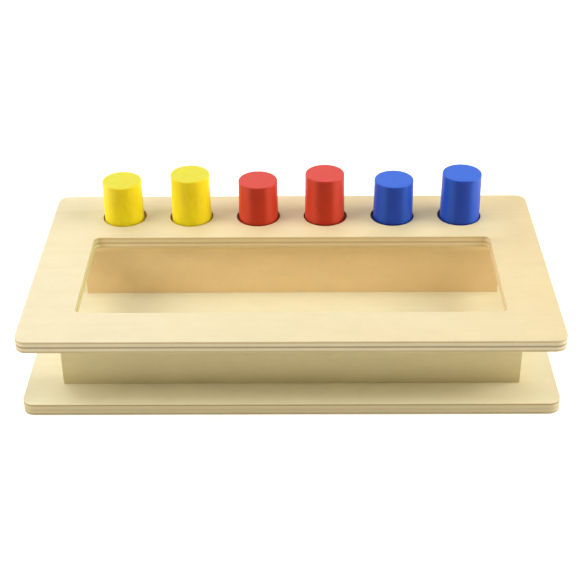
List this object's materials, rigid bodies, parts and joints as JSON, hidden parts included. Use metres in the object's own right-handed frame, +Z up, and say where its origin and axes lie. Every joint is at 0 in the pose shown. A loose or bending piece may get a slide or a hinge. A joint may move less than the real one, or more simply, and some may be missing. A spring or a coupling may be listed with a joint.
{
  "type": "peg drop box",
  "caption": "Wooden toy box of two plywood boards on rails, with a window over an open-ended tray and a row of holes that hold loose painted pegs.",
  "frame": {"origin": "middle of the underside of the base board, on the surface that the box stands on", "axes": "+X along the box to the right, +Y away from the front towards the row of pegs, +Z up"},
  "size_m": [0.36, 0.2, 0.0951],
  "materials": {
    "board_ply": "sanded pale plywood with a thin satin lacquer",
    "rail_ply": "sanded pale plywood with a thin satin lacquer",
    "dowel_wood": "bare fluted hardwood",
    "screw_steel": "zinc plated",
    "yellow_paint": "satin painted wood",
    "red_paint": "satin painted wood",
    "blue_paint": "satin painted wood"
  },
  "bodies": {
    "box": {"base_board": "board_ply", "top_board": "board_ply", "front_rail": "rail_ply", "rear_rail": "rail_ply", "front_dowel_1": "dowel_wood", "front_dowel_2": "dowel_wood", "front_dowel_3": "dowel_wood", "rear_dowel_1": "dowel_wood", "rear_dowel_2": "dowel_wood", "rear_dowel_3": "dowel_wood", "front_screw_1": "screw_steel", "front_screw_2": "screw_steel", "rear_screw_1": "screw_steel", "rear_screw_2": "screw_steel"},
    "short_yellow_peg": {"short_yellow_peg": "yellow_paint"},
    "tall_yellow_peg": {"tall_yellow_peg": "yellow_paint"},
    "short_red_peg": {"short_red_peg": "red_paint"},
    "tall_red_peg": {"tall_red_peg": "red_paint"},
    "short_blue_peg": {"short_blue_peg": "blue_paint"},
    "tall_blue_peg": {"tall_blue_peg": "blue_paint"}
  },
  "joints": [
    {"name": "short_yellow_peg_lift", "type": "slide", "parent": "box", "child": "short_yellow_peg", "axis": [0, 0, 1], "range_m": [0, 0.06]},
    {"name": "tall_yellow_peg_lift", "type": "slide", "parent": "box", "child": "tall_yellow_peg", "axis": [0, 0, 1], "range_m": [0, 0.06]},
    {"name": "short_red_peg_lift", "type": "slide", "parent": "box", "child": "short_red_peg", "axis": [0, 0, 1], "range_m": [0, 0.06]},
    {"name": "tall_red_peg_lift", "type": "slide", "parent": "box", "child": "tall_red_peg", "axis": [0, 0, 1], "range_m": [0, 0.06]},
    {"name": "short_blue_peg_lift", "type": "slide", "parent": "box", "child": "short_blue_peg", "axis": [0, 0, 1], "range_m": [0, 0.06]},
    {"name": "tall_blue_peg_lift", "type": "slide", "parent": "box", "child": "tall_blue_peg", "axis": [0, 0, 1], "range_m": [0, 0.06]}
  ]
}
